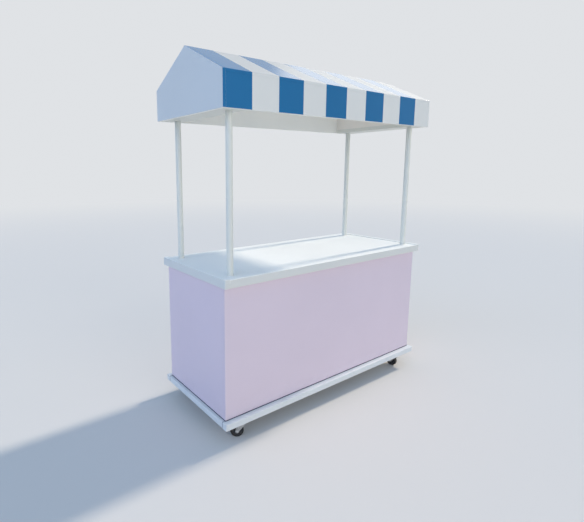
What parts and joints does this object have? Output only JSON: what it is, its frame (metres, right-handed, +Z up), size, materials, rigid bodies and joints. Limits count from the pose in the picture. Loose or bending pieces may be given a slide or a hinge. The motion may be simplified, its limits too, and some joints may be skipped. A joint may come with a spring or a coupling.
{
  "type": "market stall",
  "caption": "Wooden market stall: closed counter with worktop on swivel castors, round poles and a pitched, striped canopy of boards.",
  "frame": {"origin": "on the floor, at the centre of the plan", "axes": "+X along the counter to the right as seen from the front, +Y from the front to the back, +Z up"},
  "size_m": [1.692, 0.698, 2.079],
  "materials": {
    "worktop_white": "satin white paint",
    "counter_lilac": "satin pale lilac paint",
    "base_white": "satin white paint",
    "pole_white": "satin white paint",
    "canopy_striped": "satin paint, white with blue stripes on fascias and roof",
    "canopy_white": "matte white paint",
    "zinc_steel": "zinc plated",
    "wheel_rubber": "black, matte"
  },
  "bodies": {
    "stall": {"worktop_panel": "worktop_white", "worktop_front_edge": "worktop_white", "worktop_back_edge": "worktop_white", "worktop_left_end": "worktop_white", "worktop_right_end": "worktop_white", "front_panel": "counter_lilac", "back_panel": "counter_lilac", "left_end_panel": "counter_lilac", "right_end_panel": "counter_lilac", "base_panel": "base_white", "base_front_edge": "base_white", "base_back_edge": "base_white", "base_left_edge": "base_white", "base_right_edge": "base_white", "front_left_pole": "pole_white", "front_right_pole": "pole_white", "back_left_pole": "pole_white", "back_right_pole": "pole_white", "front_fascia": "canopy_striped", "back_fascia": "canopy_striped", "left_gable": "canopy_striped", "right_gable": "canopy_striped", "front_roof_panel": "canopy_striped", "back_roof_panel": "canopy_striped", "left_pole_rail": "canopy_white", "right_pole_rail": "canopy_white", "left_inner_end": "canopy_white", "right_inner_end": "canopy_white", "front_left_castor_plate": "zinc_steel", "front_right_castor_plate": "zinc_steel", "back_left_castor_plate": "zinc_steel", "back_right_castor_plate": "zinc_steel"},
    "front_left_swivel_fork": {"front_left_fork": "zinc_steel", "front_left_axle": "zinc_steel"},
    "front_left_rolling_wheel": {"front_left_wheel": "wheel_rubber"},
    "front_right_swivel_fork": {"front_right_fork": "zinc_steel", "front_right_axle": "zinc_steel"},
    "front_right_rolling_wheel": {"front_right_wheel": "wheel_rubber"},
    "back_left_swivel_fork": {"back_left_fork": "zinc_steel", "back_left_axle": "zinc_steel"},
    "back_left_rolling_wheel": {"back_left_wheel": "wheel_rubber"},
    "back_right_swivel_fork": {"back_right_fork": "zinc_steel", "back_right_axle": "zinc_steel"},
    "back_right_rolling_wheel": {"back_right_wheel": "wheel_rubber"}
  },
  "joints": [
    {"name": "front_left_swivel", "type": "hinge", "parent": "stall", "child": "front_left_swivel_fork", "pos_m": [-0.706, -0.293, 0.087], "axis": [0, 0, 1], "continuous": true},
    {"name": "front_left_wheel_spin", "type": "hinge", "parent": "front_left_swivel_fork", "child": "front_left_rolling_wheel", "pos_m": [-0.72765, -0.2805, 0.0375], "axis": [0.5, 0.866, 0], "continuous": true},
    {"name": "front_right_swivel", "type": "hinge", "parent": "stall", "child": "front_right_swivel_fork", "pos_m": [0.706, -0.293, 0.087], "axis": [0, 0, 1], "continuous": true},
    {"name": "front_right_wheel_spin", "type": "hinge", "parent": "front_right_swivel_fork", "child": "front_right_rolling_wheel", "pos_m": [0.706, -0.268, 0.0375], "axis": [1, 0, 0], "continuous": true},
    {"name": "back_left_swivel", "type": "hinge", "parent": "stall", "child": "back_left_swivel_fork", "pos_m": [-0.706, 0.293, 0.087], "axis": [0, 0, 1], "continuous": true},
    {"name": "back_left_wheel_spin", "type": "hinge", "parent": "back_left_swivel_fork", "child": "back_left_rolling_wheel", "pos_m": [-0.72765, 0.2805, 0.0375], "axis": [-0.5, 0.866, 0], "continuous": true},
    {"name": "back_right_swivel", "type": "hinge", "parent": "stall", "child": "back_right_swivel_fork", "pos_m": [0.706, 0.293, 0.087], "axis": [0, 0, 1], "continuous": true},
    {"name": "back_right_wheel_spin", "type": "hinge", "parent": "back_right_swivel_fork", "child": "back_right_rolling_wheel", "pos_m": [0.706, 0.268, 0.0375], "axis": [-1, 0, 0], "continuous": true}
  ]
}
